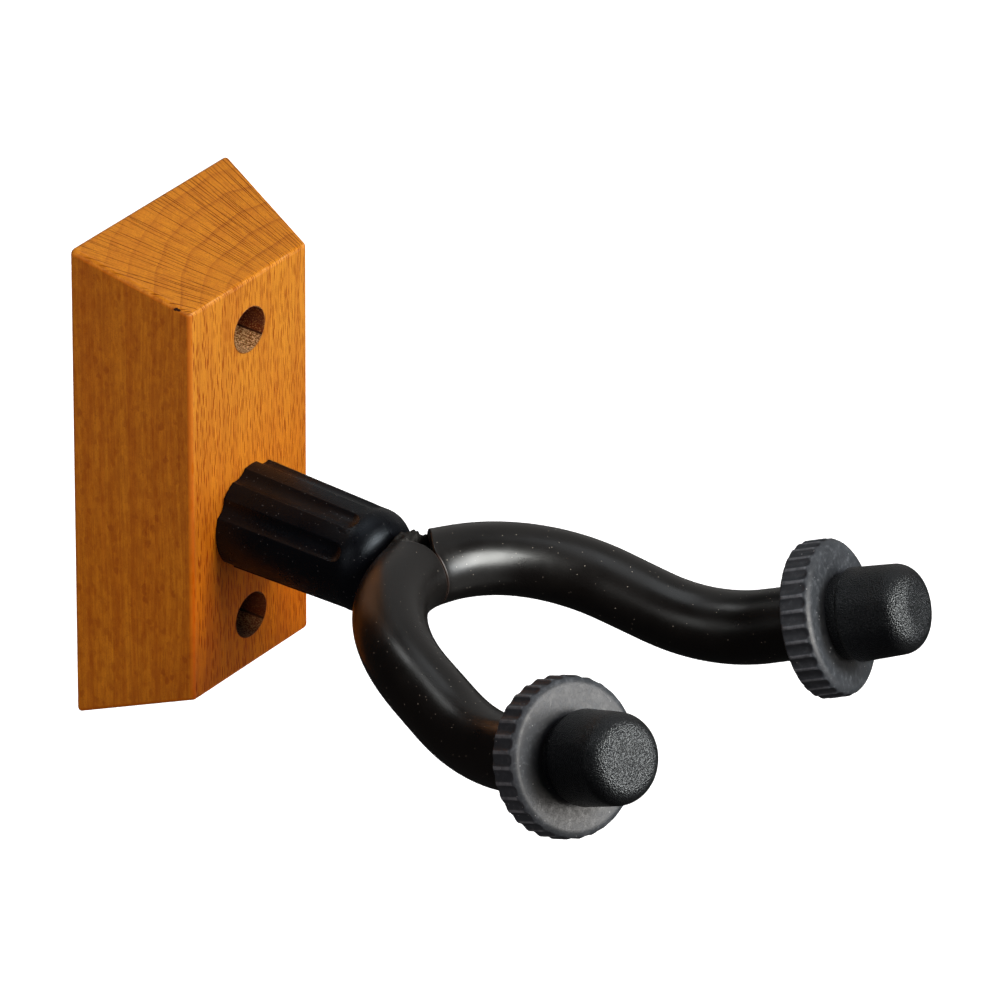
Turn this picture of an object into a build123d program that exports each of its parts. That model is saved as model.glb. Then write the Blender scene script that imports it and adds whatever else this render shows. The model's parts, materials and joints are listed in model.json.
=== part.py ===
from build123d import *

import os

# Wall guitar hanger: a tapered wooden base, a fluted collar and a rubber-sleeved swivelling yoke.
#
# Frame: millimetres, +Z up, +X to the right of someone who faces the wall, the wall in the plane Y = 0.
# The hanger stands out from the wall towards -Y. The origin is on the wall, midway between the two wall
# screws. A "reach" is a distance out from the wall, so it is measured along -Y.
#

# Wooden base block
block_height = 105.4
block_width = 49.2
block_front_height = 87.5
block_front_width = 36.6
block_depth = 25.0
block_edge_radius = 1.2
block_back_edge_radius = 0.6

# Wall screw holes: a clearance hole for a 4.5 mm screw with a counterbore for its head
screw_spacing = 64.8
screw_hole_radius = 2.4
screw_head_radius = 4.8
screw_head_depth = 12.0

# Stem, its weld bead and its bore through the block
stem_height = -9.1
stem_radius = 4.0
stem_tail_reach = 1.0
thread_chamfer = 0.8
running_clearance = 0.05
weld_radius = 6.6
weld_start_reach = 60.4
weld_length = 2.6

# Fastener stack in the rear counterbore
nut_pocket_radius = 12.5
nut_pocket_depth = 14.0
washer_radius = 11.8
washer_bore_radius = 4.2
washer_thickness = 2.0
turning_gap = 0.1
spring_washer_radius = 7.4
spring_washer_thickness = 2.0
spring_washer_cut = 1.4
spring_washer_lean = 25.0
nut_across_flats = 13.0
nut_height = 8.0
nut_end_radius = 6.6
nut_corner_length = 0.55
insert_radius = 5.4
insert_thickness = 2.2
nut_lip_radius = 6.1
nut_lip_thickness = 2.4
nut_lip_edge_radius = 0.6

# Fluted collar
collar_gap = 0.15
collar_front_reach = 60.0
collar_back_radius = 11.2
collar_front_radius = 10.6
collar_dome_radius = 5.5
flute_count = 9
flute_first_angle = 30.0
flute_radius = 3.4
flute_depth = 0.85
flute_end_reach = 52.3
ridge_edge_radius = 0.3

# Yoke: positions of the right arm's corners before the yoke is turned on its stem.
# X is out to the side, Y is minus the reach, Z is up from the stem's axis.
yoke_roll = 6.6
crotch = (0.0, -66.4, 1.1)
elbow = (25.0, -71.6, 2.1)
dip = (37.7, -111.4, -9.0)
crotch_bend_radius = 14.0
elbow_bend_radius = 35.8
dip_bend_radius = 37.0
tip_splay = 13.3
tip_rise = 21.8
ring_seat = 22.5
rod_radius = 4.0
rod_end_chamfer = 0.6

# Rubber sleeves
sleeve_radius = 7.3
sleeve_seam = 0.3
sleeve_notch_radius = 6.9
sleeve_notch_reach = 67.0
seam_gape_reach = 70.0
seam_gape_half_width = 4.6
seam_gape_depth = 12.0
push_fit_gap = 0.05

# Ribbed stop rings near the tips
ring_radius = 15.6
ring_thickness = 6.5
ring_edge_radius = 1.0
ring_lip = 1.5
rib_count = 32
rib_groove_radius = 1.5
rib_groove_depth = 0.6

# End caps
cap_neck_radius = 8.3
cap_neck_length = 2.2
cap_back_radius = 9.35
cap_front_radius = 8.75
cap_length = 16.4
cap_back_edge_radius = 0.9
cap_front_edge_radius = 4.5
cap_socket_depth = 13.2
sleeve_end_gap = 0.2
rod_end_gap = 1.0

stem_axis = Axis((0, 0, stem_height), (0, -1, 0))
# Profile plane of everything that is round about the stem: X is the reach, Y is the radius.
stem_profile = Plane(origin=(0, 0, stem_height), x_dir=(0, -1, 0), z_dir=(-1, 0, 0))
block_back = Plane(origin=(0, 0, 0), x_dir=(-1, 0, 0), z_dir=(0, 1, 0))
block_front = Plane(origin=(0, -block_depth, 0), x_dir=(1, 0, 0), z_dir=(0, -1, 0))

sleeve_length = ring_seat + ring_thickness + cap_socket_depth - sleeve_end_gap
rod_length = sleeve_length - rod_end_gap


def turned(vector):
    """A direction of the level yoke, turned with the yoke about the stem."""
    return Vector(vector).rotate(Axis.Y, yoke_roll)


def on_yoke(side, corner):
    """A point of the level yoke where it really is; side is 1 for the right arm and -1 for the left."""
    x, y, z = corner
    return turned((side * x, y, z)) + Vector(0, 0, stem_height)


def tip_direction(side):
    """The way that the straight end of an arm points."""
    level = Vector(0, -1, 0).rotate(Axis.X, -tip_rise).rotate(Axis.Z, side * tip_splay)
    return turned(level)


def along_tip(side, distance):
    """A point on the straight end of an arm, at a distance past its dip corner."""
    return on_yoke(side, dip) + tip_direction(side) * distance


def tip_plane(side, distance):
    """Plane across an arm's straight end, facing its tip."""
    return Plane(origin=along_tip(side, distance), z_dir=tip_direction(side))


def tip_profile(side, distance):
    """Profile plane for what is round about an arm's end: X is along the arm, Y is the radius."""
    direction = tip_direction(side)
    return Plane(
        origin=along_tip(side, distance),
        x_dir=direction,
        z_dir=direction.cross(turned((0, 0, 1))),
    )


def yoke_corners(length):
    """Corners of the yoke's centreline from the left tip to the right tip."""
    left = [along_tip(-1, length), on_yoke(-1, dip), on_yoke(-1, elbow)]
    right = [on_yoke(1, elbow), on_yoke(1, dip), along_tip(1, length)]
    return left + [on_yoke(1, crotch)] + right


arm_bends = [elbow_bend_radius, dip_bend_radius]
yoke_bends = [dip_bend_radius, elbow_bend_radius, crotch_bend_radius] + arm_bends
# Plane through the stem's axis in which the yoke lies level
yoke_level = Plane(origin=(0, 0, stem_height), x_dir=turned((1, 0, 0)), z_dir=turned((0, 0, 1)))

os.makedirs("parts", exist_ok=True)

# Wooden block: tapered on all four sides, screw holes from the front, stem bore and nut pocket behind
with BuildPart() as wood_block:
    with BuildSketch(block_back):
        Rectangle(block_width, block_height)
    with BuildSketch(block_back.offset(-block_depth)):
        Rectangle(block_front_width, block_front_height)
    loft()
    back_edges = wood_block.edges().group_by(Axis.Y)[-1]
    fillet(wood_block.edges() - back_edges, radius=block_edge_radius)
    fillet(wood_block.edges().group_by(Axis.Y)[-1], radius=block_back_edge_radius)
    with Locations(block_front):
        with Locations((0, screw_spacing / 2), (0, -screw_spacing / 2)):
            CounterBoreHole(screw_hole_radius, screw_head_radius, screw_head_depth)
    with Locations(block_back):
        with Locations((0, stem_height)):
            CounterBoreHole(stem_radius + running_clearance, nut_pocket_radius, nut_pocket_depth)
wood_block.part.label = "wood_block"
export_step(wood_block.part, "parts/wood_block.step")

# Yoke rod: one bent steel rod from tip to tip
with BuildPart() as yoke_rod:
    with BuildLine():
        rod_path = FilletPolyline(*yoke_corners(rod_length), radius=yoke_bends)
    with BuildSketch(Plane(origin=rod_path @ 0, z_dir=rod_path % 0)):
        Circle(rod_radius)
    sweep()
    rod_ends = yoke_rod.faces().filter_by(GeomType.PLANE)
    chamfer(rod_ends.edges(), length=rod_end_chamfer)
yoke_rod.part.label = "yoke_rod"
export_step(yoke_rod.part, "parts/yoke_rod.step")

# Stem: threaded tail, shank through the block and the collar, and the weld bead saddled on the rod
with BuildPart() as stem:
    with BuildSketch(stem_profile):
        with BuildLine():
            Polyline(
                (stem_tail_reach, 0),
                (stem_tail_reach, stem_radius - thread_chamfer),
                (stem_tail_reach + thread_chamfer, stem_radius),
                (weld_start_reach, stem_radius),
                (weld_start_reach + weld_length, weld_radius),
                (-crotch[1], weld_radius),
                (-crotch[1], 0),
                close=True,
            )
        make_face()
    revolve(axis=stem_axis)
    add(yoke_rod.part, mode=Mode.SUBTRACT)
stem.part.label = "stem"
export_step(stem.part, "parts/stem.step")

# Fluted collar: a tapered barrel with a domed front, and flutes that run out before the dome
barrel_length = collar_front_reach - collar_dome_radius - block_depth
flute_fall = (collar_back_radius - collar_front_radius) / barrel_length
flute_cutter_height = collar_back_radius - flute_depth + flute_radius
flute_length = flute_end_reach - block_depth
flute_end_height = stem_height + flute_cutter_height - flute_length * flute_fall

with BuildPart() as flute_cutter:
    with BuildSketch(block_front):
        with Locations((0, stem_height + flute_cutter_height)):
            Circle(flute_radius)
    extrude(amount=flute_length, dir=(0, -1, -flute_fall))
    with Locations((0, -flute_end_reach, flute_end_height)):
        Sphere(flute_radius)

with BuildPart() as stem_collar:
    with BuildSketch(stem_profile) as collar_profile:
        with BuildLine():
            Polyline(
                (block_depth + collar_gap, stem_radius + running_clearance),
                (block_depth + collar_gap, collar_back_radius),
                (collar_front_reach - collar_dome_radius, collar_front_radius),
                (collar_front_reach, collar_front_radius),
                (collar_front_reach, stem_radius + running_clearance),
                close=True,
            )
        make_face()
        front_corners = collar_profile.vertices().group_by(Axis.X)[-1]
        fillet(front_corners.sort_by(Axis.Y)[-1], radius=collar_dome_radius)
    revolve(axis=stem_axis)
    for flute in range(flute_count):
        flute_angle = flute_first_angle - 90 + flute * 360 / flute_count
        add(flute_cutter.part.rotate(stem_axis, flute_angle), mode=Mode.SUBTRACT)
    barrel = stem_collar.faces().filter_by(GeomType.CONE).sort_by(SortBy.AREA)[-1]
    back_rim = barrel.edges().group_by(Axis.Y)[-1]
    fillet(barrel.edges().filter_by(GeomType.BSPLINE) - back_rim, radius=ridge_edge_radius)
stem_collar.part.label = "stem_collar"
export_step(stem_collar.part, "parts/stem_collar.step")

# Fastener stack in the nut pocket: large washer, split spring washer, lock nut and its nylon insert
washer_front_reach = nut_pocket_depth
spring_front_reach = washer_front_reach - washer_thickness - turning_gap
spring_washer_middle = spring_washer_thickness / 2 - spring_front_reach
nut_front_reach = spring_front_reach - spring_washer_thickness
nut_back_reach = nut_front_reach - nut_height
nut_body_back_reach = nut_back_reach + nut_lip_thickness
insert_front_reach = nut_back_reach + insert_thickness + nut_lip_edge_radius
nut_corner_radius = nut_across_flats / 3**0.5


def stem_plane(reach):
    """Plane across the stem at a reach, facing back to the wall."""
    return Plane(origin=(0, -reach, stem_height), x_dir=(-1, 0, 0), z_dir=(0, 1, 0))


with BuildPart() as rear_washer:
    with BuildSketch(stem_plane(washer_front_reach)):
        Circle(washer_radius)
        Circle(washer_bore_radius, mode=Mode.SUBTRACT)
    extrude(amount=washer_thickness)
rear_washer.part.label = "rear_washer"
export_step(rear_washer.part, "parts/rear_washer.step")

with BuildPart() as spring_washer:
    with BuildSketch(stem_plane(spring_front_reach)):
        Circle(spring_washer_radius)
        Circle(washer_bore_radius, mode=Mode.SUBTRACT)
    extrude(amount=spring_washer_thickness)
    with Locations((0, spring_washer_middle, stem_height + spring_washer_radius)):
        Box(
            spring_washer_cut,
            2 * spring_washer_thickness,
            spring_washer_radius,
            rotation=(0, 0, spring_washer_lean),
            mode=Mode.SUBTRACT,
        )
spring_washer.part.label = "spring_washer"
export_step(spring_washer.part, "parts/spring_washer.step")

with BuildPart() as lock_nut:
    with BuildSketch(stem_plane(nut_front_reach)):
        RegularPolygon(nut_across_flats / 2, 6, major_radius=False)
    extrude(amount=nut_height - nut_lip_thickness)
    with BuildSketch(stem_profile):
        with BuildLine():
            Polyline(
                (nut_body_back_reach, 0),
                (nut_body_back_reach, nut_end_radius),
                (nut_body_back_reach + nut_corner_length, nut_corner_radius),
                (nut_front_reach - nut_corner_length, nut_corner_radius),
                (nut_front_reach, nut_end_radius),
                (nut_front_reach, 0),
                close=True,
            )
        make_face()
    revolve(axis=stem_axis, mode=Mode.INTERSECT)
    with BuildSketch(stem_plane(nut_front_reach)):
        Circle(nut_lip_radius)
    extrude(amount=nut_height)
    lip_edge = lock_nut.edges().filter_by(GeomType.CIRCLE).sort_by(Axis.Y)[-1]
    fillet(lip_edge, radius=nut_lip_edge_radius)
    with BuildSketch(stem_plane(nut_front_reach)):
        Circle(stem_radius + push_fit_gap)
    extrude(amount=nut_height, mode=Mode.SUBTRACT)
    with BuildSketch(stem_plane(insert_front_reach)):
        Circle(insert_radius)
    extrude(amount=insert_thickness, mode=Mode.SUBTRACT)
lock_nut.part.label = "lock_nut"
export_step(lock_nut.part, "parts/lock_nut.step")

with BuildPart() as lock_nut_insert:
    with BuildSketch(stem_plane(insert_front_reach)):
        Circle(insert_radius)
        Circle(stem_radius + push_fit_gap, mode=Mode.SUBTRACT)
    extrude(amount=insert_thickness)
lock_nut_insert.part.label = "lock_nut_insert"
export_step(lock_nut_insert.part, "parts/lock_nut_insert.step")


def sleeve(side):
    """Rubber tube over one arm, cut at the yoke's middle and notched round the stem and its weld."""
    with BuildPart() as tube:
        with BuildLine():
            tube_path = FilletPolyline(*yoke_corners(sleeve_length), radius=yoke_bends)
        with BuildSketch(Plane(origin=tube_path @ 0, z_dir=tube_path % 0)):
            Circle(sleeve_radius)
            Circle(rod_radius + push_fit_gap, mode=Mode.SUBTRACT)
        sweep()
        middle = Plane(origin=on_yoke(side, crotch), z_dir=turned((side, 0, 0)))
        split(bisect_by=middle.offset(sleeve_seam / 2), keep=Keep.TOP)
        with BuildSketch(stem_plane(sleeve_notch_reach)):
            Circle(sleeve_notch_radius)
        extrude(amount=sleeve_notch_reach - block_depth, mode=Mode.SUBTRACT)
        with BuildSketch(yoke_level):
            Polygon(
                (0, -seam_gape_reach),
                (seam_gape_half_width, -seam_gape_reach + seam_gape_depth),
                (-seam_gape_half_width, -seam_gape_reach + seam_gape_depth),
                align=None,
            )
        extrude(amount=2 * sleeve_radius, both=True, mode=Mode.SUBTRACT)
    return tube


def stop_ring(side):
    """Rubber ring with a ribbed rim behind a smooth rounded lip."""
    with BuildPart() as ring:
        with BuildSketch(tip_profile(side, ring_seat)) as ring_section:
            with Locations((ring_thickness / 2, (ring_radius + sleeve_radius + push_fit_gap) / 2)):
                Rectangle(ring_thickness, ring_radius - sleeve_radius - push_fit_gap)
            fillet(ring_section.vertices().group_by(Axis.Y)[-1], radius=ring_edge_radius)
        revolve(axis=Axis(along_tip(side, 0), tip_direction(side)))
        with BuildSketch(tip_plane(side, ring_seat)):
            with PolarLocations(ring_radius - rib_groove_depth + rib_groove_radius, rib_count):
                Circle(rib_groove_radius)
        extrude(amount=ring_thickness - ring_lip, mode=Mode.SUBTRACT)
    return ring


def end_cap(side):
    """Cup-shaped cap on the sleeve's end: a narrow neck, then a tapered body with a rounded front."""
    with BuildPart() as cap:
        with BuildSketch(tip_profile(side, ring_seat + ring_thickness)) as cap_section:
            with BuildLine():
                Polyline(
                    (0, sleeve_radius + push_fit_gap),
                    (0, cap_neck_radius),
                    (cap_neck_length, cap_neck_radius),
                    (cap_neck_length, cap_back_radius),
                    (cap_length, cap_front_radius),
                    (cap_length, 0),
                    (cap_socket_depth, 0),
                    (cap_socket_depth, sleeve_radius + push_fit_gap),
                    close=True,
                )
            make_face()
            corners = cap_section.vertices()
            fillet(corners.sort_by(Axis.Y)[-1], radius=cap_back_edge_radius)
            front_corner = cap_section.vertices().group_by(Axis.X)[-1].sort_by(Axis.Y)[-1]
            fillet(front_corner, radius=cap_front_edge_radius)
        revolve(axis=Axis(along_tip(side, 0), tip_direction(side)))
    return cap


left_sleeve = sleeve(-1)
left_sleeve.part.label = "left_sleeve"
export_step(left_sleeve.part, "parts/left_sleeve.step")

right_sleeve = sleeve(1)
right_sleeve.part.label = "right_sleeve"
export_step(right_sleeve.part, "parts/right_sleeve.step")

left_stop_ring = stop_ring(-1)
left_stop_ring.part.label = "left_stop_ring"
export_step(left_stop_ring.part, "parts/left_stop_ring.step")

right_stop_ring = stop_ring(1)
right_stop_ring.part.label = "right_stop_ring"
export_step(right_stop_ring.part, "parts/right_stop_ring.step")

left_end_cap = end_cap(-1)
left_end_cap.part.label = "left_end_cap"
export_step(left_end_cap.part, "parts/left_end_cap.step")

right_end_cap = end_cap(1)
right_end_cap.part.label = "right_end_cap"
export_step(right_end_cap.part, "parts/right_end_cap.step")
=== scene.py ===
import json
from math import cos, pi, radians, sin

import bmesh
import bpy
import numpy as np
from mathutils import Matrix, Vector


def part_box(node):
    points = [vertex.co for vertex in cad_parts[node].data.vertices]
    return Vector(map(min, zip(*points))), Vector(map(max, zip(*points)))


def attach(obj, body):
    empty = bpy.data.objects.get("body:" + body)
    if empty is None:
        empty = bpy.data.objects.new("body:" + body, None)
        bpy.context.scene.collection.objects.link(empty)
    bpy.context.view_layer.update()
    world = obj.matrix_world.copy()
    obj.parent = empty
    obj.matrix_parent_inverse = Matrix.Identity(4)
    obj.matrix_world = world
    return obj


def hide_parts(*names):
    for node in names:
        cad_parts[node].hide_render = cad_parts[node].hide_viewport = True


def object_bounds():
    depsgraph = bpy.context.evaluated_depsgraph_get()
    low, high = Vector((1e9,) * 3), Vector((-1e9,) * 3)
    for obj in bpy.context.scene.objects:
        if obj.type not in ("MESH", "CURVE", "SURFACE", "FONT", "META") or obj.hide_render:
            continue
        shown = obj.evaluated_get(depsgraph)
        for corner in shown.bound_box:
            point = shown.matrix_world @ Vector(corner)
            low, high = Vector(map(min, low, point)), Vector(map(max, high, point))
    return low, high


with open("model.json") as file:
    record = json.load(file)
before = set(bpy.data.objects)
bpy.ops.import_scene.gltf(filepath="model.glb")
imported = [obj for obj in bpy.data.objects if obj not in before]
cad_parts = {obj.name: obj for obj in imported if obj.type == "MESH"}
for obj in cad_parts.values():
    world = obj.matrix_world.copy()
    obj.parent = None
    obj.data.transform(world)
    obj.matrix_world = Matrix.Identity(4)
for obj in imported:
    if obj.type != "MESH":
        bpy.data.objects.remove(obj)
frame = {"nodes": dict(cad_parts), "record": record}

MM = 0.001
cad_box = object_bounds()
nodes = frame["nodes"]

# Sizes that the CAD shares, for parts that no box gives
ROD_RADIUS = 4 * MM
SLEEVE_BORE = 4.05 * MM
SLEEVE_RADIUS = 7.3 * MM
COUNTERBORE_RADIUS = 4.8 * MM
POCKET_RADIUS = 12.5 * MM
TOP_SLOPE = radians(20)
RIBS = 32

WHITE = (1, 1, 1)


# ---------------------------------------------------------------- camera, light and floor

def direction(azimuth, elevation):
    """Unit vector towards a place given in radians: azimuth 0 is in front of the hanger."""
    return Vector((sin(azimuth) * cos(elevation), -cos(azimuth) * cos(elevation), sin(elevation)))


def photo_camera():
    """Camera at the photograph's viewing angle: a long lens from the upper left front."""
    azimuth, elevation, roll = radians(-53.1), radians(30.18), radians(0.42)
    place = Vector((-1.45212, -1.17691, 1.07172))
    back = direction(azimuth, elevation)
    level = Vector((cos(azimuth), sin(azimuth), 0))
    raised = back.cross(level)
    right = cos(roll) * level + sin(roll) * raised
    up = cos(roll) * raised - sin(roll) * level
    lens = bpy.data.cameras.new("photo_camera")
    lens.lens = 391.14
    lens.sensor_width = 36
    lens.clip_start = 0.05
    lens.clip_end = 100
    camera = bpy.data.objects.new("photo_camera", lens)
    camera.matrix_world = Matrix((right, up, back)).transposed().to_4x4()
    camera.location = place
    bpy.context.scene.collection.objects.link(camera)
    bpy.context.scene.camera = camera


def soft_light(name, azimuth, elevation, size, power, tint=WHITE, distance=1.5):
    """Square soft box that faces the object from a direction given in degrees."""
    away = direction(radians(azimuth), radians(elevation))
    lamp = bpy.data.lights.new(name, "AREA")
    lamp.shape = "SQUARE"
    lamp.size = size
    lamp.energy = power
    lamp.color = tint
    low, high = cad_box
    box = bpy.data.objects.new(name, lamp)
    box.location = (low + high) / 2 + away * distance
    box.rotation_mode = "QUATERNION"
    box.rotation_quaternion = away.to_track_quat("Z", "Y")
    bpy.context.scene.collection.objects.link(box)
    return box


def diffuse_light(*place_and_look):
    """Soft box that lights surfaces and isn't mirrored in them."""
    soft_light(*place_and_look).visible_glossy = False


def glossy_light(*place_and_look):
    """Soft box that is only mirrored in surfaces."""
    soft_light(*place_and_look).visible_diffuse = False


def surroundings(seen, lit, mirrored):
    """Plain pale surroundings, with a strength for the camera, for soft light and for reflections."""
    world = bpy.data.worlds.new("studio")
    world.use_nodes = True
    bpy.context.scene.world = world
    tree = world.node_tree
    path = tree.nodes.new("ShaderNodeLightPath")
    strength = lit
    for ray, value in (("Is Glossy Ray", mirrored), ("Is Camera Ray", seen)):
        mix = tree.nodes.new("ShaderNodeMix")
        tree.links.new(path.outputs[ray], mix.inputs["Factor"])
        if isinstance(strength, float):
            mix.inputs["A"].default_value = strength
        else:
            tree.links.new(strength, mix.inputs["A"])
        mix.inputs["B"].default_value = value
        strength = mix.outputs["Result"]
    sky = tree.nodes["Background"]
    sky.inputs["Color"].default_value = (1, 1, 1, 1)
    tree.links.new(strength, sky.inputs["Strength"])


def pale_floor(size, drop, glow):
    """Plain white floor well below the object, so that only a faint soft shadow reaches it."""
    half = size / 2
    mesh = bpy.data.meshes.new("floor")
    corners = [(-half, -half, 0), (half, -half, 0), (half, half, 0), (-half, half, 0)]
    mesh.from_pydata(corners, [], [(0, 1, 2, 3)])
    floor = bpy.data.objects.new("floor", mesh)
    floor.location.z = cad_box[0].z - drop
    bpy.context.scene.collection.objects.link(floor)
    floor.visible_glossy = False
    floor.visible_diffuse = False
    paint = bpy.data.materials.new("pale_floor")
    paint.use_nodes = True
    shader = paint.node_tree.nodes["Principled BSDF"]
    shader.inputs["Base Color"].default_value = (0.9, 0.9, 0.9, 1)
    shader.inputs["Roughness"].default_value = 1.0
    shader.inputs["Specular IOR Level"].default_value = 0.0
    shader.inputs["Emission Color"].default_value = (1, 1, 1, 1)
    shader.inputs["Emission Strength"].default_value = glow
    mesh.materials.append(paint)


def studio():
    """Soft boxes over a pale floor: azimuth and elevation in degrees, size, power and tint."""
    bpy.context.scene.view_settings.view_transform = "Standard"
    surroundings(seen=1.0, lit=0.1, mirrored=0.02)
    pale_floor(size=60, drop=0.3, glow=0.8)
    warm = (1, 0.96, 0.9)
    faintly_warm = (1, 0.97, 0.93)
    diffuse_light("key_box", 8, 41, 0.52, 23.8)
    diffuse_light("left_fill", -78, 18, 0.9, 8.9, (1, 0.84, 0.8))
    diffuse_light("rear_fill", 132, 25, 1.1, 2.6)
    glossy_light("key_glow", 8.5, 20.5, 0.85, 51, (1, 0.95, 0.88))
    glossy_light("overhead_glow", 95, 80, 1.0, 5)
    glossy_light("right_glow", 108, 24, 2.0, 4, faintly_warm)
    glossy_light("left_glow", -90, 28, 0.55, 1.9, warm)
    glossy_light("under_glow", 15, -30, 1.3, 2.2, warm)
    glossy_light("rear_glow", -170, 58, 0.26, 2.0, faintly_warm)
    soft_light("front_box", 26, 5, 0.5, 7, distance=1.3)


# ---------------------------------------------------------------- material building

class Finish:
    """A procedural material: a Principled shader fed by a small tree of nodes."""

    def __init__(self, name, roughness=0.5, specular=0.5, shine=WHITE, coat=0.0, coat_roughness=0.1):
        self.material = bpy.data.materials.new(name)
        self.material.use_nodes = True
        self.tree = self.material.node_tree
        self.shader = self.tree.nodes["Principled BSDF"]
        self.shader.inputs["Roughness"].default_value = roughness
        self.shader.inputs["Specular IOR Level"].default_value = specular
        self.shader.inputs["Specular Tint"].default_value = (*shine, 1)
        self.shader.inputs["Coat Weight"].default_value = coat
        self.shader.inputs["Coat Roughness"].default_value = coat_roughness
        coordinates = self.add("ShaderNodeTexCoord")
        self.place = coordinates.outputs["Object"]
        self.facing = coordinates.outputs["Normal"]

    def add(self, kind, **settings):
        node = self.tree.nodes.new(kind)
        for key, value in settings.items():
            setattr(node, key, value)
        return node

    def feed(self, socket, value):
        """Sets an input to a number or a vector, or links it to another node's output."""
        if isinstance(value, bpy.types.NodeSocket):
            self.tree.links.new(value, socket)
        else:
            socket.default_value = value

    def times(self, a, b):
        return self.math("MULTIPLY", a, b)

    def plus(self, a, b, clamp=False):
        return self.math("ADD", a, b, clamp)

    def minus(self, a, b, clamp=False):
        return self.math("SUBTRACT", a, b, clamp)

    def rest_of(self, share):
        """1 minus a share, never below 0."""
        return self.minus(1.0, share, clamp=True)

    def math(self, operation, a, b=0.0, clamp=False):
        node = self.add("ShaderNodeMath", operation=operation, use_clamp=clamp)
        self.feed(node.inputs[0], a)
        self.feed(node.inputs[1], b)
        return node.outputs[0]

    def vector(self, operation, a, b=(0, 0, 0)):
        node = self.add("ShaderNodeVectorMath", operation=operation)
        self.feed(node.inputs[0], a)
        self.feed(node.inputs[1], b)
        return node.outputs["Value" if operation in ("LENGTH", "DOT_PRODUCT") else "Vector"]

    def split(self, vector):
        node = self.add("ShaderNodeSeparateXYZ")
        self.feed(node.inputs[0], vector)
        return node.outputs[0], node.outputs[1], node.outputs[2]

    def join(self, x, y, z):
        node = self.add("ShaderNodeCombineXYZ")
        for socket, value in zip(node.inputs, (x, y, z)):
            self.feed(socket, value)
        return node.outputs[0]

    def noise(self, vector, scale, detail=2.0, roughness=0.5):
        node = self.add("ShaderNodeTexNoise")
        self.feed(node.inputs["Vector"], vector)
        node.inputs["Scale"].default_value = scale
        node.inputs["Detail"].default_value = detail
        node.inputs["Roughness"].default_value = roughness
        return node.outputs["Fac"]

    def cells(self, vector, scale, output="Distance"):
        """Scattered cells: the distance to a cell's centre, or that centre's position."""
        node = self.add("ShaderNodeTexVoronoi")
        self.feed(node.inputs["Vector"], vector)
        node.inputs["Scale"].default_value = scale
        return node.outputs[output]

    def between(self, value, low, high, out_low=0.0, out_high=1.0):
        """Smooth step from out_low at low to out_high at high."""
        node = self.add("ShaderNodeMapRange", interpolation_type="SMOOTHSTEP")
        for socket, item in zip(node.inputs, (value, low, high, out_low, out_high)):
            self.feed(socket, item)
        return node.outputs[0]

    def blend(self, share, a, b, mode="MIX"):
        """Colour a at share 0 and colour b at share 1."""
        node = self.add("ShaderNodeMix", data_type="RGBA", blend_type=mode)
        self.feed(node.inputs[0], share)
        for socket, colour in zip((node.inputs[6], node.inputs[7]), (a, b)):
            self.feed(socket, colour if isinstance(colour, bpy.types.NodeSocket) else (*colour, 1))
        return node.outputs[2]

    def colour(self, value):
        self.feed(self.shader.inputs["Base Color"],
                  value if isinstance(value, bpy.types.NodeSocket) else (*value, 1))

    def roughness(self, value):
        self.feed(self.shader.inputs["Roughness"], value)

    def gloss(self, value):
        self.feed(self.shader.inputs["Specular IOR Level"], value)

    def relief(self, height, depth):
        """Bump of the given depth in metres, on top of any bump already made."""
        node = self.add("ShaderNodeBump")
        node.inputs["Strength"].default_value = 1.0
        node.inputs["Distance"].default_value = depth
        self.feed(node.inputs["Height"], height)
        normal = self.shader.inputs["Normal"]
        if normal.is_linked:
            self.tree.links.new(normal.links[0].from_socket, node.inputs["Normal"])
        self.tree.links.new(node.outputs["Normal"], normal)


def wear(finish_material, *names):
    """Puts one material on the material slots of CAD nodes."""
    for name in names:
        slots = nodes[name].data.materials
        slots.clear()
        slots.append(finish_material)


# ---------------------------------------------------------------- materials

LIGHT_BEECH = (0.7, 0.26, 0.015)
AMBER_BEECH = (0.58, 0.18, 0.008)
STREAK_BEECH = (0.5, 0.14, 0.008)
RED_BEECH = (0.24, 0.042, 0.003)
DARK_BEECH = (0.11, 0.019, 0.002)
RING_WIDTH = 4.6 * MM


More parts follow.
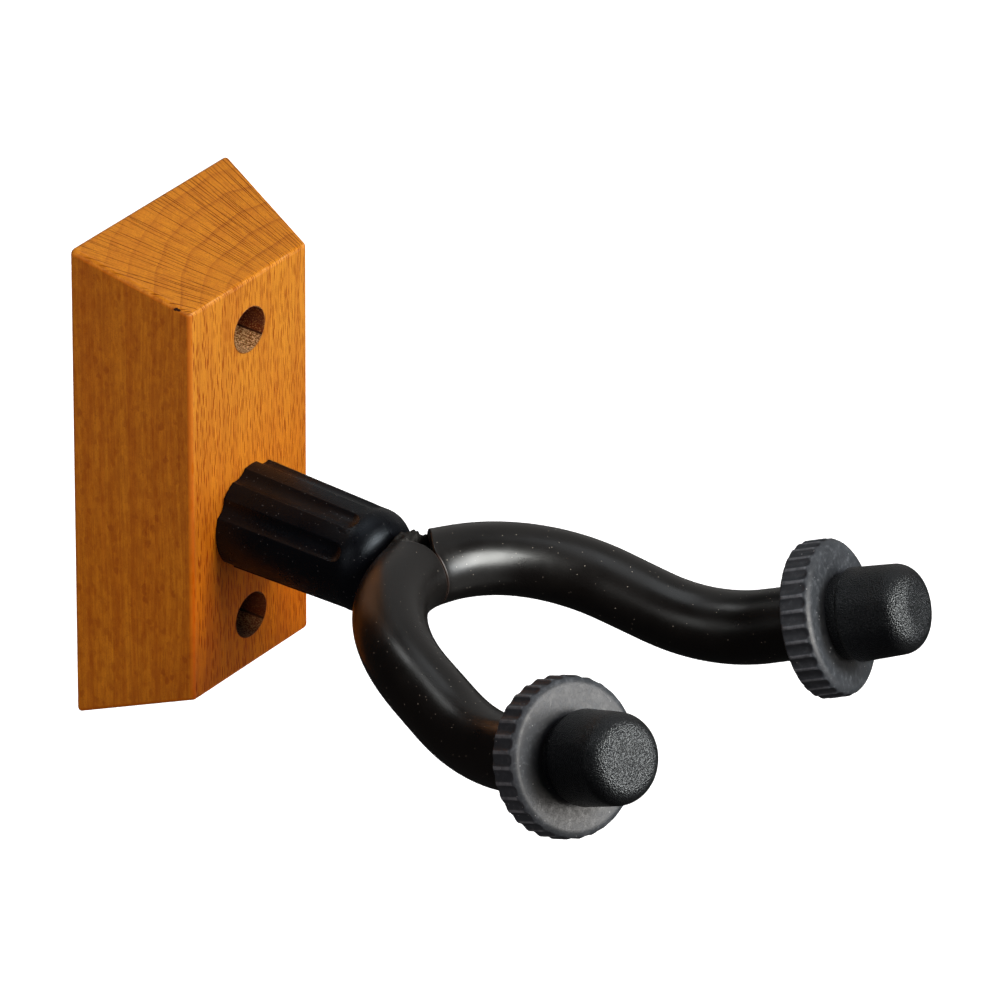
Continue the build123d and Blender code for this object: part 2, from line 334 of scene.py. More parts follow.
class Grain:
    """Where a point lies in the tree, whose pith stood upright in front of the block."""

    def __init__(self, wood):
        self.wood = wood
        pith = (12 * MM, -62 * MM, 0)
        usual_radius, waviness = 50 * MM, 7 * MM
        self.drift = wood.noise(wood.vector("MULTIPLY", wood.place, (40, 40, 9)), 1.0, 2)
        x, y, self.height = wood.split(wood.vector("SUBTRACT", wood.place, pith))
        wander = wood.times(wood.minus(self.drift, 0.5), waviness)
        self.radius = wood.plus(wood.vector("LENGTH", wood.join(x, y, 0)), wander)
        along = wood.times(wood.math("ARCTAN2", x, y), usual_radius)
        self.tangent = wood.plus(along, wood.times(wander, 0.05))
        sideways, _, upward = wood.split(wood.facing)
        self.side_on = wood.math("ABSOLUTE", sideways)
        self.end_grain = wood.between(upward, 0.5, 0.8)

    def measured(self, radial, tangential, upright):
        """The point along radius, tangent and height, each in its own unit of length."""
        parts = zip((self.radius, self.tangent, self.height), (radial, tangential, upright))
        return self.wood.join(*(self.wood.math("DIVIDE", part, unit) for part, unit in parts))

    def flecks(self, cell, half, ragged=0.0):
        """Scattered lens-shaped marks: their spacing and half size along radius, tangent and height."""
        wood = self.wood
        place = self.measured(*cell)
        if ragged:
            bend = wood.add("ShaderNodeTexNoise")
            wood.feed(bend.inputs["Vector"], place)
            bend.inputs["Scale"].default_value = 2.6
            bend.inputs["Detail"].default_value = 3.0
            shift = wood.vector("SUBTRACT", bend.outputs["Color"], (0.5, 0.5, 0.5))
            place = wood.vector("ADD", place, wood.vector("MULTIPLY", shift, (ragged, ragged, ragged)))
        offset = wood.vector("SUBTRACT", place, wood.cells(place, 1.0, output="Position"))
        share = tuple(size / length for size, length in zip(cell, half))
        return wood.between(wood.vector("LENGTH", wood.vector("MULTIPLY", offset, share)), 1.0, 0.65)


def screw_holes():
    """The (x, z) of the two screw holes, from the record's screw mount."""
    mount = next(m for m in frame["record"]["mounts"] if m["name"] == "wall_screws")
    x, _, z = mount["pos_m"]
    half = mount["dims"]["spacing_y_mm"] / 2 * MM
    return [(x, z + half), (x, z - half)]


def bored(wood):
    """1 on the drilled surfaces, which are the two counterbores and the rear pocket, and 0 outside."""
    x, y, z = wood.split(wood.place)

    def near(centre, radius):
        offset = wood.join(wood.minus(x, centre[0]), 0, wood.minus(z, centre[1]))
        away = wood.vector("LENGTH", offset)
        return wood.between(away, radius + 0.15 * MM, radius + 0.02 * MM)

    upper, lower = (near(centre, COUNTERBORE_RADIUS) for centre in screw_holes())
    off_the_wall = wood.between(y, -0.1 * MM, -0.3 * MM)
    counterbores = wood.times(wood.math("MAXIMUM", upper, lower), off_the_wall)
    low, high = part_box("rear_washer")
    pocket_floor = low.y - 0.2 * MM
    pocket = near(((low.x + high.x) / 2, (low.z + high.z) / 2), POCKET_RADIUS)
    pocket = wood.times(pocket, wood.between(y, pocket_floor - 0.2 * MM, pocket_floor))
    return wood.math("MAXIMUM", counterbores, pocket)


def edges_wear_and_highlight(wood):
    """Masks of the block's rounded edges: patchy along the top, where paler wear is also a painted
    highlight on edges facing up and to the front, even on the upright ones, and all.
    """
    sloping_top = (0, -sin(TOP_SLOPE), cos(TOP_SLOPE))
    sides = ((1, 0, 0), (-1, 0, 0), (0, 1, 0), (0, -1, 0), sloping_top, (0, 0, 1), (0, 0, -1))
    patches = wood.noise(wood.place, 300, 3, 0.7)
    nearest = 0.0
    for side in sides:
        nearest = wood.math("MAXIMUM", nearest, wood.vector("DOT_PRODUCT", wood.facing, side))
    _, rearward, height = wood.split(wood.facing)
    upward = wood.between(height, 0.15, 0.45)
    front = wood.between(rearward, -0.45, -0.7, 0.25, 1)
    top_edge_wear_and_highlight = wood.times(wood.between(nearest, 0.93, 0.88), wood.between(patches, 0.42, 0.6))
    top_edge_wear_and_highlight = wood.times(top_edge_wear_and_highlight, front)
    upright_edge = wood.minus(wood.between(nearest, 0.995, 0.9), upward, clamp=True)
    return wood.times(top_edge_wear_and_highlight, upward), upright_edge, wood.between(nearest, 0.99, 0.94)


def nick(wood):
    """A small dark chip in the upper left edge, close to the front corner."""
    low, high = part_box("wood_block")
    centre = (low.x + 5.5 * MM, low.y + 2.6 * MM, high.z - 8.3 * MM)
    half_size = (0.55 * MM, 1.5 * MM, 0.34 * MM)
    offset = wood.vector("DIVIDE", wood.vector("SUBTRACT", wood.place, centre), half_size)
    torn = wood.noise(wood.place, 1500, 3, 0.7)
    ragged = wood.plus(wood.vector("LENGTH", offset), wood.times(torn, 2.4))
    return wood.between(ragged, 2.1, 1.9)


def painted_front_shade(wood):
    """Painted light and shade on the front face only: lighter at the top, darker and redder towards the
    bottom.
    """
    height = wood.split(wood.place)[2]
    front_shade_tint = wood.blend(wood.between(height, 30 * MM, -28 * MM), (1.04, 1.14, 1.5), (1.0, 0.74, 0.2))
    forward = wood.between(wood.split(wood.facing)[1], -0.6, -0.9)
    return wood.blend(forward, (1, 1, 1), front_shade_tint)


def rays(grain):
    """Dark rays: dashes on the front, fainter on the sides, and long lines on the end grain."""
    wood = grain.wood
    dashes = grain.flecks(cell=(12 * MM, 0.66 * MM, 3.2 * MM), half=(6.5 * MM, 0.13 * MM, 1.75 * MM))
    dashes = wood.times(dashes, wood.rest_of(wood.times(grain.side_on, 0.85)))
    dashes = wood.times(dashes, wood.rest_of(wood.times(grain.end_grain, 0.8)))
    lines = grain.flecks(cell=(15 * MM, 0.85 * MM, 90 * MM), half=(8.5 * MM, 0.11 * MM, 80 * MM))
    lines = wood.times(lines, wood.between(grain.drift, 0.3, 0.6, 0.5, 0.95))
    return wood.plus(dashes, wood.times(lines, grain.end_grain), clamp=True)


def beech_ground(grain, fibre, cloud):
    """Colour of the wood below its marks: clouds, streaks, growth rings and fibres."""
    wood = grain.wood
    streak = wood.noise(grain.measured(1.6 * MM, 2.2 * MM, 60 * MM), 1.0, 2, 0.5)
    ring_phase = wood.math("FRACT", wood.math("DIVIDE", grain.radius, RING_WIDTH))
    late = wood.between(ring_phase, 0.3, 0.98)
    ring_edge = wood.between(ring_phase, 0.8, 0.98)
    ring_edge = wood.times(ring_edge, wood.between(grain.drift, 0.35, 0.65, 0.3, 1))
    edge_share = wood.plus(wood.times(grain.end_grain, 0.38), 0.17)
    colour = wood.blend(cloud, LIGHT_BEECH, AMBER_BEECH)
    colour = wood.blend(wood.between(streak, 0.4, 0.72, 0, 0.6), colour, STREAK_BEECH)
    colour = wood.blend(wood.times(late, 0.4), colour, (0.5, 0.145, 0.007))
    colour = wood.blend(wood.times(ring_edge, edge_share), colour, RED_BEECH)
    return wood.blend(wood.between(fibre, 0.62, 0.34, 0, 0.3), colour, RED_BEECH)


def beech_marks(grain, colour, ray, cloud):
    """Adds soft flecks and mottle on the sides, the top's tint, the rays and the pores."""
    wood = grain.wood
    cell, half = (2.2 * MM, 1.1 * MM, 3.2 * MM), (0.8 * MM, 0.32 * MM, 1.05 * MM)
    soft = grain.flecks(cell, half, ragged=0.6)
    soft = wood.times(soft, wood.between(cloud, 0.35, 0.65, 0.22, 0.52))
    soft = wood.times(soft, wood.between(grain.side_on, 0.2, 0.8, 0.3, 1))
    colour = wood.blend(soft, colour, RED_BEECH)
    mottle = wood.noise(wood.vector("MULTIPLY", wood.place, (1, 1, 0.45)), 620, 4, 0.65)
    mottle = wood.times(grain.side_on, wood.between(mottle, 0.62, 0.4, 0, 0.3))
    colour = wood.blend(mottle, colour, RED_BEECH)
    colour = wood.blend(wood.times(grain.end_grain, 0.3), colour, (0.44, 0.155, 0.001))
    ray_colour = wood.blend(grain.end_grain, (0.25, 0.034, 0.002), DARK_BEECH)
    colour = wood.blend(ray, colour, ray_colour)
    pores = wood.noise(wood.place, 5200, 2, 0.6)
    return wood.blend(wood.between(pores, 0.47, 0.3, 0, 0.4), colour, DARK_BEECH)


def stained_beech():
    """Golden stained beech with worn edges, a chip and raw drilled holes, a painted highlight on the
    top edges and painted shade on the lower front and in the lower bores.
    """
    wood = Finish("stained_beech", coat=0.03, coat_roughness=0.3)
    grain = Grain(wood)
    fibre = wood.noise(grain.measured(0.35 * MM, 0.35 * MM, 9 * MM), 1.0, 3, 0.6)
    cloud = wood.noise(wood.place, 55, 3, 0.55)
    torn = wood.noise(wood.vector("MULTIPLY", wood.place, (1, 0.6, 1)), 3800, 3, 0.75)
    ray = rays(grain)
    top_edge_wear_and_highlight, upright_edge, rounded = edges_wear_and_highlight(wood)
    chip, inside = nick(wood), bored(wood)

    colour = beech_marks(grain, beech_ground(grain, fibre, cloud), ray, cloud)
    # Top edges: patchy paler wear, and a painted highlight where the edges face up and to the front.
    colour = wood.blend(wood.times(top_edge_wear_and_highlight, 0.17), colour, (0.85, 0.47, 0.16))
    colour = wood.blend(wood.times(upright_edge, 0.7), colour, (0.54, 0.125, 0.003))
    # Painted shade: the front face is multiplied darker and redder towards the bottom.
    colour = wood.blend(1.0, colour, painted_front_shade(wood), mode="MULTIPLY")
    colour = wood.blend(chip, colour, (0.022, 0.006, 0.002))
    wood.colour(wood.blend(inside, colour, raw_bore(wood, torn)))

    dulled = wood.plus(wood.times(chip, 0.5), wood.times(rounded, 0.45))
    dulled = wood.plus(wood.times(inside, 0.4), dulled)
    wood.roughness(wood.plus(wood.times(fibre, 0.12), wood.plus(dulled, 0.3)))
    soaked = wood.plus(wood.times(ray, 0.65), wood.times(rounded, 0.5))
    soaked = wood.plus(soaked, wood.times(grain.end_grain, 0.2))
    lacquer = wood.between(grain.height, -28 * MM, 30 * MM, 0.2, 0.32)
    wood.gloss(wood.times(lacquer, wood.rest_of(soaked)))
    wood.relief(wood.minus(wood.times(fibre, 0.4), wood.times(ray, 0.5)), 0.03 * MM)
    wood.relief(wood.times(torn, inside), 0.4 * MM)
    wear(wood.material, "wood_block")


def raw_bore(wood, torn):
    """Drilled wall: torn pale end grain above and below, darker smooth grain at the sides, and painted
    shade darkening the walls towards the bottom.
    """
    upright = wood.math("ABSOLUTE", wood.split(wood.facing)[2])
    end_grain = wood.blend(wood.between(torn, 0.42, 0.62), (0.2, 0.065, 0.018), (0.9, 0.52, 0.22))
    side_grain = wood.blend(wood.between(torn, 0.5, 0.66), (0.17, 0.035, 0.008), (0.6, 0.25, 0.08))
    raw = wood.blend(wood.between(upright, 0.5, 0.62), side_grain, end_grain)
    height = wood.split(wood.place)[2]
    # Painted shade: darkens the bore walls towards the bottom, most in the lower counterbore.
    raw = wood.blend(wood.between(height, 10 * MM, -10 * MM, 0, 0.72), raw, (0.1, 0.02, 0.005))
    crack = wood.between(wood.math("ABSOLUTE", wood.minus(upright, 0.56)), 0.06, 0.02)
    crack = wood.times(crack, wood.between(wood.split(wood.place)[1], -12.5 * MM, -13 * MM))
    return wood.blend(crack, raw, (0.06, 0.018, 0.006))


def specks(finish, spacing, size, shift):
    """Sparse dust specks: 1 on a speck. The shift keeps each finish's specks its own."""
    moved = finish.vector("ADD", finish.place, (shift, shift, shift))
    return finish.between(finish.cells(moved, 1 / spacing), size / spacing, size / spacing * 0.5)


def sleeve_rubber():
    """Brown-black rubber tube with a soft shine, smears and specks of dust."""
    rubber = Finish("sleeve_rubber", specular=0.45, shine=(0.9, 0.96, 1))
    cloud = rubber.noise(rubber.place, 90, 3, 0.6)
    grain = rubber.noise(rubber.place, 2400, 2, 0.6)
    dust = specks(rubber, 1.4 * MM, 0.13 * MM, 0.31)
    base = rubber.blend(cloud, (0.003, 0.0023, 0.002), (0.0065, 0.0048, 0.004))
    from_seam = rubber.math("ABSOLUTE", rubber.split(rubber.place)[0])
    cut_face = rubber.between(from_seam, 0.5 * MM, 0.2 * MM, 0, 0.6)
    base = rubber.blend(cut_face, base, (0.075, 0.045, 0.035))
    dust = rubber.times(dust, rubber.between(cloud, 0.35, 0.6, 0.25, 0.75))
    rubber.colour(rubber.blend(dust, base, (0.45, 0.4, 0.33)))
    rubber.roughness(rubber.between(cloud, 0.3, 0.7, 0.27, 0.37))
    rubber.relief(grain, 0.006 * MM)
    wear(rubber.material, "left_sleeve", "right_sleeve")
    return rubber.material


def collar_plastic():
    """Near-black moulded plastic, finely grained, with sparse pale rubbed spots."""
    plastic = Finish("collar_plastic", specular=0.19, shine=(0.72, 0.86, 1))
    cloud = plastic.noise(plastic.place, 140, 3, 0.6)
    grain = plastic.noise(plastic.place, 3800, 2, 0.6)
    dust = specks(plastic, 1.1 * MM, 0.11 * MM, 0.53)
    base = plastic.blend(cloud, (0.0015, 0.0017, 0.0026), (0.0032, 0.0035, 0.0046))
    plastic.colour(plastic.blend(plastic.times(dust, 0.5), base, (0.2, 0.2, 0.2)))
    plastic.roughness(plastic.between(cloud, 0.3, 0.7, 0.25, 0.34))
    plastic.relief(grain, 0.06 * MM)
    wear(plastic.material, "stem_collar")


class RingShape:
    """A stop ring's centre, front-facing axis, radii, flat sides and rib phase, from its CAD node."""

    def __init__(self, node):
        polygons = nodes[node].data.polygons
        largest = max((p for p in polygons if p.normal.y < -0.5), key=lambda p: p.area)
        self.axis = largest.normal.normalized()
        self.east = self.axis.cross(Vector((0, 0, 1))).normalized()
        self.north = self.axis.cross(self.east)
        points = np.array([v.co for v in nodes[node].data.vertices])
        across, upward, height = (points @ np.array(way) for way in (self.east, self.north, self.axis))
        self.back, self.front = height.min(), height.max()
        middle = (across.min() + across.max()) / 2, (upward.min() + upward.max()) / 2
        inner = np.hypot(across - middle[0], upward - middle[1]) < SLEEVE_RADIUS + 0.6 * MM
        table = np.stack([2 * across[inner], 2 * upward[inner], np.ones(inner.sum())], -1)
        a, b, _ = np.linalg.lstsq(table, across[inner] ** 2 + upward[inner] ** 2, rcond=None)[0]
        self.centre = a * self.east + b * self.north + (self.back + self.front) / 2 * self.axis
        radius = np.hypot(across - a, upward - b)
        self.bore, self.outer = radius.min(), radius.max()
        ridge = (radius > self.outer - 0.02 * MM) & (height < self.front - 2 * MM)
        turns = np.exp(1j * RIBS * np.arctan2(upward[ridge] - b, across[ridge] - a))
        self.ridge_angle = np.angle(turns.mean()) / RIBS


def ring_rubber(node, shape):
    """Dusty grey rubber: a mottled face with a painted shadow round the cap, and a charcoal rim with
    rubbed ridges.
    """
    rubber = Finish(node + "_rubber", specular=0.3)
    centre, axis, outer = shape.centre, shape.axis, shape.outer
    offset = rubber.vector("SUBTRACT", rubber.place, centre)
    height = rubber.vector("DOT_PRODUCT", offset, axis)
    radius = rubber.math("SQRT", rubber.minus(rubber.vector("DOT_PRODUCT", offset, offset),
                                             rubber.times(height, height)))
    flat = rubber.math("ABSOLUTE", rubber.vector("DOT_PRODUCT", rubber.facing, axis))
    cloud = rubber.noise(rubber.place, 260, 4, 0.65)
    grain = rubber.noise(rubber.place, 2600, 2, 0.6)
    smear = rubber.noise(rubber.place, 900, 4, 0.7)

    base = rubber.blend(cloud, (0.017, 0.0195, 0.0225), (0.052, 0.058, 0.066))
    base = rubber.blend(rubber.between(smear, 0.48, 0.7, 0, 0.5), base, (0.115, 0.125, 0.138))
    # Painted shadow: the face turns near black round the cap, off centre towards the left and down.
    shaded_centre = (-2.1 * MM, 0, -0.7 * MM)
    from_cap = rubber.vector("LENGTH", rubber.vector("SUBTRACT", offset, shaded_centre))
    painted_cap_shadow = rubber.between(from_cap, 12 * MM, 9.2 * MM, 0, 0.97)
    base = rubber.blend(painted_cap_shadow, base, (0.003, 0.0033, 0.0042))
    rim = rubber.between(flat, 0.75, 0.4)
    base = rubber.blend(rubber.times(rim, 0.6), base, (0.021, 0.0245, 0.03))
    rubbed = rubber.times(rubber.between(radius, outer - 0.22 * MM, outer - 0.06 * MM), rim)
    rubbed = rubber.times(rubbed, rubber.between(smear, 0.3, 0.6, 0.3, 0.8))
    base = rubber.blend(rubbed, base, (0.13, 0.14, 0.155))
    dust = specks(rubber, 1.7 * MM, 0.15 * MM, 0.77)
    rubber.colour(rubber.blend(rubber.times(dust, 0.6), base, (0.45, 0.45, 0.45)))
    rubber.roughness(rubber.between(smear, 0.3, 0.7, 0.4, 0.58))
    rubber.relief(grain, 0.02 * MM)
    rubber.relief(smear, 0.03 * MM)
    wear(rubber.material, node)
    return rubber.material


def cap_plastic():
    """Black pebbled plastic that sparkles where the light strikes it, with lighter pebble tips painted
    on as glints.
    """
    plastic = Finish("cap_plastic", shine=(0.86, 0.94, 1))
    pebble = plastic.cells(plastic.place, 1 / (0.3 * MM))
    pebble_tips_painted_glint = plastic.between(pebble, 0.36, 0.14)
    fine = plastic.noise(plastic.place, 5200, 2, 0.6)
    base = plastic.blend(fine, (0.0006, 0.0007, 0.0011), (0.002, 0.0022, 0.003))
    # Painted glint: the pebble tips are lighter in colour; their lower roughness gives the real
    # sparkle.
    plastic.colour(plastic.blend(plastic.times(pebble_tips_painted_glint, 0.2), base, (0.02, 0.021, 0.026)))
    plastic.roughness(plastic.minus(0.34, plastic.times(pebble_tips_painted_glint, 0.14)))
    plastic.relief(pebble, 0.13 * MM)
    plastic.relief(fine, 0.03 * MM)
    wear(plastic.material, "left_end_cap", "right_end_cap")


def yoke_steel():
    """Black painted steel of the rod and the stem."""
    steel = Finish("yoke_steel")
    cloud = steel.noise(steel.place, 400, 3, 0.6)
    steel.colour(steel.blend(cloud, (0.006, 0.006, 0.006), (0.02, 0.018, 0.017)))
    steel.relief(cloud, 0.08 * MM)
    wear(steel.material, "yoke_rod", "stem")


def burnt_paint():
    """Matt black paint over the rough weld."""
    paint = Finish("burnt_paint", roughness=0.65, specular=0.3)
    cloud = paint.noise(paint.place, 900, 4, 0.7)
    paint.colour(paint.blend(cloud, (0.001, 0.001, 0.001), (0.006, 0.005, 0.004)))
    paint.relief(cloud, 0.25 * MM)
    return paint.material


def zinc_steel():
    """Zinc-plated washers and nut in the rear pocket."""
    zinc = Finish("zinc_steel")
    zinc.shader.inputs["Metallic"].default_value = 1.0
    cloud = zinc.noise(zinc.place, 500, 4, 0.6)
    zinc.colour(zinc.blend(cloud, (0.5, 0.5, 0.49), (0.72, 0.71, 0.68)))
    zinc.roughness(zinc.between(cloud, 0.3, 0.7, 0.25, 0.42))
    zinc.relief(zinc.noise(zinc.place, 1800, 2, 0.6), 0.012 * MM)
    wear(zinc.material, "rear_washer", "spring_washer", "lock_nut")


def nylon():
    """Milky nylon ring of the lock nut."""
    white = Finish("nylon", roughness=0.45)
    cloud = white.noise(white.place, 700, 3, 0.6)
    white.colour(white.blend(cloud, (0.6, 0.58, 0.52), (0.72, 0.7, 0.63)))
    white.relief(cloud, 0.02 * MM)
    wear(white.material, "lock_nut_insert")


# ---------------------------------------------------------------- rubber sleeves

COLLAR_CLEARANCE = 7.6 * MM
STEPS_AROUND = 72
STEPS_ALONG = 110
UP = np.array([0.0, 0.0, 1.0])


def centreline(node, radius):
    """Evenly spaced points on the axis of a bent round bar, found from its surface and its normals."""
    mesh = nodes[node].data
    centres = np.array([mesh.vertices[c.vertex_index].co - c.normal * radius for c in mesh.loops])
    grid, fewest_corners, closest = 0.1 * MM, 12, 0.5 * MM
    _, member, counts = np.unique(np.round(centres / grid), axis=0,
                                  return_inverse=True, return_counts=True)
    member = member.ravel()
    sections = np.nonzero(counts >= fewest_corners)[0]
    means = np.array([centres[member == k].mean(axis=0) for k in sections])
    means = means[np.argsort(means[:, 0])]
    gaps = np.linalg.norm(np.diff(means, axis=0), axis=1)
    means = means[np.append(True, gaps > closest)]
    return evened(means, spacing=0.25 * MM, softness=1.0 * MM)


def evened(points, spacing, softness):
    """Resamples a polyline and rounds off its corners with a Gaussian average."""
    walked = np.append(0, np.cumsum(np.linalg.norm(np.diff(points, axis=0), axis=1)))
    even = np.linspace(0, walked[-1], int(walked[-1] / spacing) + 1)
    line = np.stack([np.interp(even, walked, points[:, k]) for k in range(3)], -1)
    reach = int(4 * softness / spacing)
    weights = np.exp(-0.5 * (np.arange(-reach, reach + 1) * spacing / softness) ** 2)
    weights /= weights.sum()
    before = 2 * line[0] - line[reach:0:-1]
    after = 2 * line[-1] - line[-2:-reach - 2:-1]
    padded = np.concatenate([before, line, after])
    return np.stack([np.convolve(padded[:, k], weights, "valid") for k in range(3)], -1)


class Route:
    """A line that is walked by distance from the point where it crosses X = 0."""

    def __init__(self, points):
        self.points = points
        steps = np.linalg.norm(np.diff(points, axis=0), axis=1)
        self.distance = np.append(0, np.cumsum(steps))
        self.distance -= np.interp(0, points[:, 0], self.distance)

    def at(self, distance):
        """Points at the given distances; past either end the route goes straight on."""
        spots = np.stack([np.interp(distance, self.distance, self.points[:, k]) for k in range(3)], -1)
        for end, inner in ((0, 1), (-1, -2)):
            lead = self.points[end] - self.points[inner]
            lead /= np.linalg.norm(lead)
            over = self.distance[end] - distance if end == 0 else distance - self.distance[end]
            spots += np.clip(over, 0, None)[..., None] * lead
        return spots

    def tangent(self, distance):
        step = 1.0 * MM
        ahead = self.at(distance + step) - self.at(distance - step)
        return ahead / np.linalg.norm(ahead, axis=-1, keepdims=True)

    def wall(self, distance, angle, radius):
        """Points at a radius from the route; angle 0 faces up and a quarter turn faces the wall."""
        along = self.tangent(distance)
        up = UP - along * (along @ UP)[..., None]
        up /= np.linalg.norm(up, axis=-1, keepdims=True)
        out = np.cross(up, along)
        away = up * np.cos(angle)[..., None] + out * np.sin(angle)[..., None]
        return self.at(distance) + away * radius[..., None]


def sleeve_start(route, side, angles, gape):
    """How far from the middle the rubber starts at each angle: the seam, widened round the stem."""
    low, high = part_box("stem")
    stem_x, stem_z = (low.x + high.x) / 2, (low.z + high.z) / 2
    half_seam, opening_depth = 0.1 * MM, 4 * MM
    reach = np.arange(-2 * MM, 16 * MM, 0.05 * MM)
    radius = np.full(len(reach), SLEEVE_RADIUS)
    starts = []
    for angle in angles:
        spots = route.wall(side * reach, np.full(len(reach), angle), radius)
        notch = np.hypot(spots[:, 0] - stem_x, spots[:, 2] - stem_z) < COLLAR_CLEARANCE
        notch &= spots[:, 1] > low.y
        behind = np.clip(spots[:, 1] - low.y + opening_depth, 0, None)
        blocked = notch | (side * spots[:, 0] < half_seam + behind * gape)
        starts.append(reach[np.nonzero(blocked)[0][-1] + 1] if blocked.any() else reach[0])
    starts = np.array(starts)
    for _ in range(6):
        starts = (np.roll(starts, 1) + 2 * starts + np.roll(starts, -1)) / 4
    return starts


def build_sleeve(name, side, gape):
    """Rubber tube as a quad mesh: a softly rounded cut end at the seam and a slightly uneven wall.

    The profile lists (offset along the rod, share of the way to the tip, radius) once round the wall.
    """
    route = Route(centreline("yoke_rod", ROD_RADIUS))
    tip = route.distance[-1 if side > 0 else 0] * side + 1.0 * MM
    angles = np.linspace(0, 2 * pi, STEPS_AROUND, endpoint=False)
    starts = sleeve_start(route, side, angles, gape)
    lip = 0.45 * MM
    inset, bevel = 0.5 * MM, 0.3 * MM
    share = np.linspace(0, 1, STEPS_ALONG) ** 1.5
    profile = [(inset, 0.0, SLEEVE_BORE), (0.0, 0.0, SLEEVE_BORE + bevel),
               (0.0, 0.0, SLEEVE_RADIUS - lip), (0.06 * MM, 0.0, SLEEVE_RADIUS - 0.17 * MM),
               (0.2 * MM, 0.0, SLEEVE_RADIUS - 0.03 * MM)]
    profile += [(lip * (1 - t), t, SLEEVE_RADIUS) for t in share]
    profile += [(0.0, 1.0, SLEEVE_BORE)] + [(inset, t, SLEEVE_BORE) for t in share[::-4][1:-1]]

    mesh_rings = []
    for offset, t, radius in profile:
        distance = starts * (1 - t) + tip * t + offset
        swell = 0.0
        if radius >= SLEEVE_RADIUS - lip:
            near = np.exp(-(distance - starts) / (2.2 * MM))
            upper = np.clip(np.cos(angles - 0.5), 0, 1)
            flare = 0.35 * MM * near * upper
            swell = flare + 0.035 * MM * np.sin(distance / (5.3 * MM) + 2 * angles)
        mesh_rings.append(route.wall(side * distance, angles, np.full(len(angles), radius) + swell))
    return closed_tube(name + "_rubber", mesh_rings)


def closed_tube(name, rings):
    """Object made of rings of points, each joined to the next and the last to the first."""
    built = bmesh.new()
    verts = [[built.verts.new(point) for point in ring] for ring in rings]
    for one, two in zip(verts, verts[1:] + verts[:1]):
        for k in range(len(one)):
            after = (k + 1) % len(one)
            built.faces.new((one[k], one[after], two[after], two[k]))
    bmesh.ops.recalc_face_normals(built, faces=built.faces)
    mesh = bpy.data.meshes.new(name)
    built.to_mesh(mesh)
    built.free()
    mesh.shade_smooth()
    piece = bpy.data.objects.new(name, mesh)
    bpy.context.scene.collection.objects.link(piece)
    return piece


def sleeves(material):
    """Both rubber sleeves. The seam between them opens towards the wall, most on the right."""
    for name, side, gape in (("left_sleeve", -1, 0.28), ("right_sleeve", 1, 1.05)):
        piece = build_sleeve(name, side, gape)
        piece.data.materials.append(material)
        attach(piece, "yoke")
        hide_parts(name)


# ---------------------------------------------------------------- stop rings

def rib_depth(shape, angles):
    """Depth of the scalloped rim below its ridges at each angle, with softened ridges."""
    groove_radius, groove_depth = 1.8 * MM, 0.6 * MM
    pitch = 2 * pi / RIBS
    turn = (angles - shape.ridge_angle) % pitch - pitch / 2
    reach = shape.outer - groove_depth + groove_radius
    half_chord = groove_radius ** 2 - (reach * np.sin(turn)) ** 2
    cut = reach * np.cos(turn) - np.sqrt(np.clip(half_chord, 0, None))
    depth = np.where(half_chord > 0, shape.outer - cut, 0).clip(0, groove_depth)
    for _ in range(2):
        depth = (np.roll(depth, 1) + 2 * depth + np.roll(depth, -1)) / 4
    return depth


def ring_profile(shape):
    """Points (height above the back, radius, share of the rib depth) once round the ring's section."""
    thick = shape.front - shape.back
    rear, lip = 1.0 * MM, 1.9 * MM
    crease = 0.12 * MM
    inner = shape.bore + crease
    profile = [(0, r, 1) for r in np.linspace(inner, shape.outer - rear, 5)]
    for a in np.linspace(0, pi / 2, 7)[1:]:
        profile.append((rear * (1 - cos(a)), shape.outer - rear * (1 - sin(a)), 1))
    profile += [(h, shape.outer, 1) for h in np.linspace(rear, thick - lip, 9)[1:]]
    for a in np.linspace(0, pi / 2, 13)[1:]:
        fading = max(0, cos(1.5 * a)) ** 0.7
        profile.append((thick - lip * (1 - sin(a)), shape.outer - lip * (1 - cos(a)), fading))
    profile += [(thick, r, 0) for r in np.linspace(shape.outer - lip, inner, 8)[1:]]
    return profile + [(h, shape.bore, 0) for h in np.linspace(thick - crease, crease, 5)]


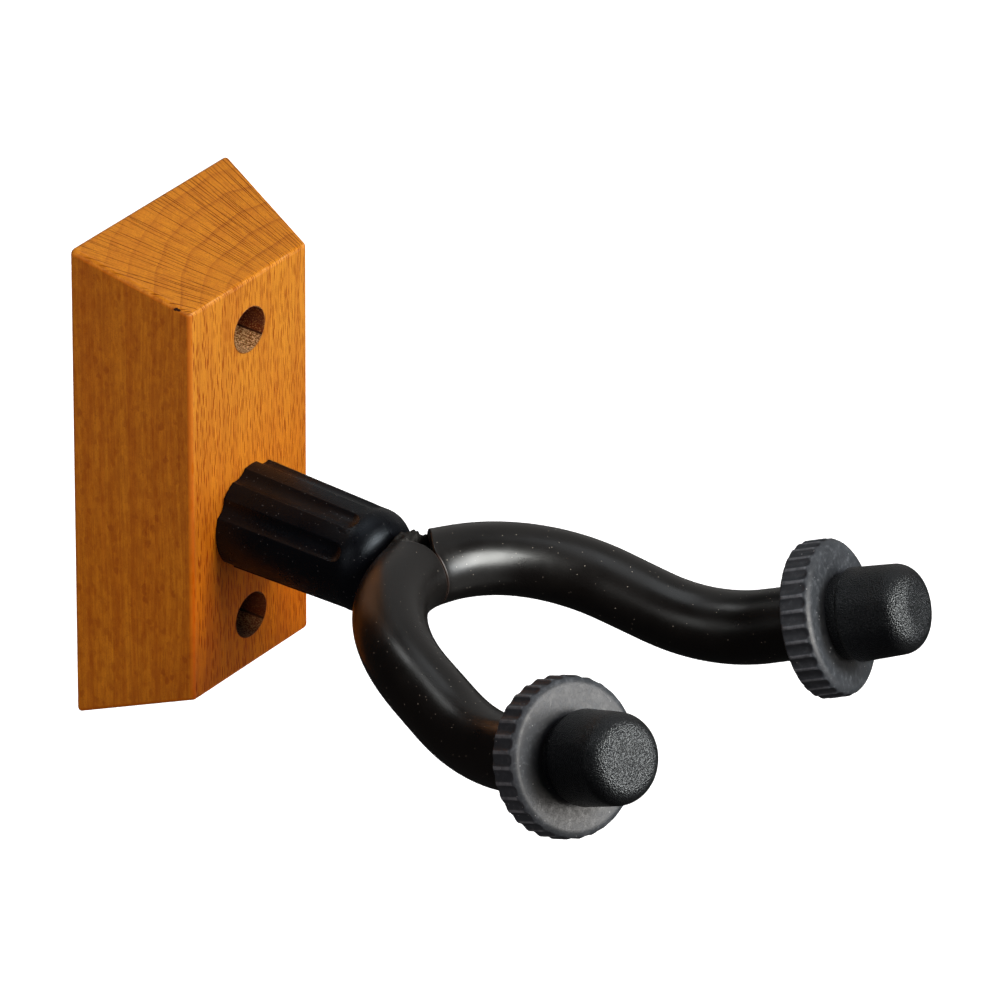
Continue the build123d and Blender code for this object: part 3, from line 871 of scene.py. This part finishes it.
def stop_ring(name):
    """Ribbed rubber ring whose grooves run out softly in a rounded lip."""
    shape = RingShape(name)
    angles = np.linspace(0, 2 * pi, 20 * RIBS, endpoint=False)
    depth = rib_depth(shape, angles)
    spokes = [cos(a) * shape.east + sin(a) * shape.north for a in angles]
    start = shape.centre + (shape.back - shape.front) / 2 * shape.axis
    rings = []
    for height, radius, share in ring_profile(shape):
        radii = np.minimum(radius, shape.outer - share * depth)
        rings.append([start + height * shape.axis + r * spoke for r, spoke in zip(radii, spokes)])
    piece = closed_tube(name + "_rubber", rings)
    piece.data.materials.append(ring_rubber(name, shape))
    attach(piece, "yoke")
    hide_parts(name)


# ---------------------------------------------------------------- weld

def weld_bead(material):
    """Lumpy painted weld between the stem and the rod, in front of the collar."""
    low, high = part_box("stem")
    collar_low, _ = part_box("stem_collar")
    centre = Vector(((low.x + high.x) / 2, 0, (low.z + high.z) / 2))
    start, end = collar_low.y - 0.25 * MM, low.y + 1 * MM
    foot, crest, lump = 4.2 * MM, 7.5 * MM, 0.5 * MM
    lean_depth, lean_angle, twist = 0.9 * MM, radians(42), 9
    chance = np.random.default_rng(7)
    waves = [(k, chance.uniform(0, 2 * pi), chance.uniform(0.4, 1) / k ** 0.4) for k in range(5, 44, 2)]
    angles = np.linspace(0, 2 * pi, 200, endpoint=False)
    rings = []
    for t in np.linspace(0, 1, 40):
        swell = 1 - (2 * t - 1) ** 4
        rough = sum(size * np.sin(k * angles + phase + twist * t * (k % 5 - 2))
                    for k, phase, size in waves)
        lean = lean_depth * np.cos(angles - lean_angle)
        radius = foot + (crest + lean - foot) * swell + lump * rough / 2 * swell
        y = start + (end - start) * t
        rings.append([centre + Vector((r * cos(a), y, r * sin(a))) for r, a in zip(radius, angles)])
    piece = closed_tube("weld_bead", rings)
    piece.data.materials.append(material)
    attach(piece, "yoke")


photo_camera()
studio()
stained_beech()
sleeves(sleeve_rubber())
collar_plastic()
stop_ring("left_stop_ring")
stop_ring("right_stop_ring")
cap_plastic()
yoke_steel()
weld_bead(burnt_paint())
zinc_steel()
nylon()
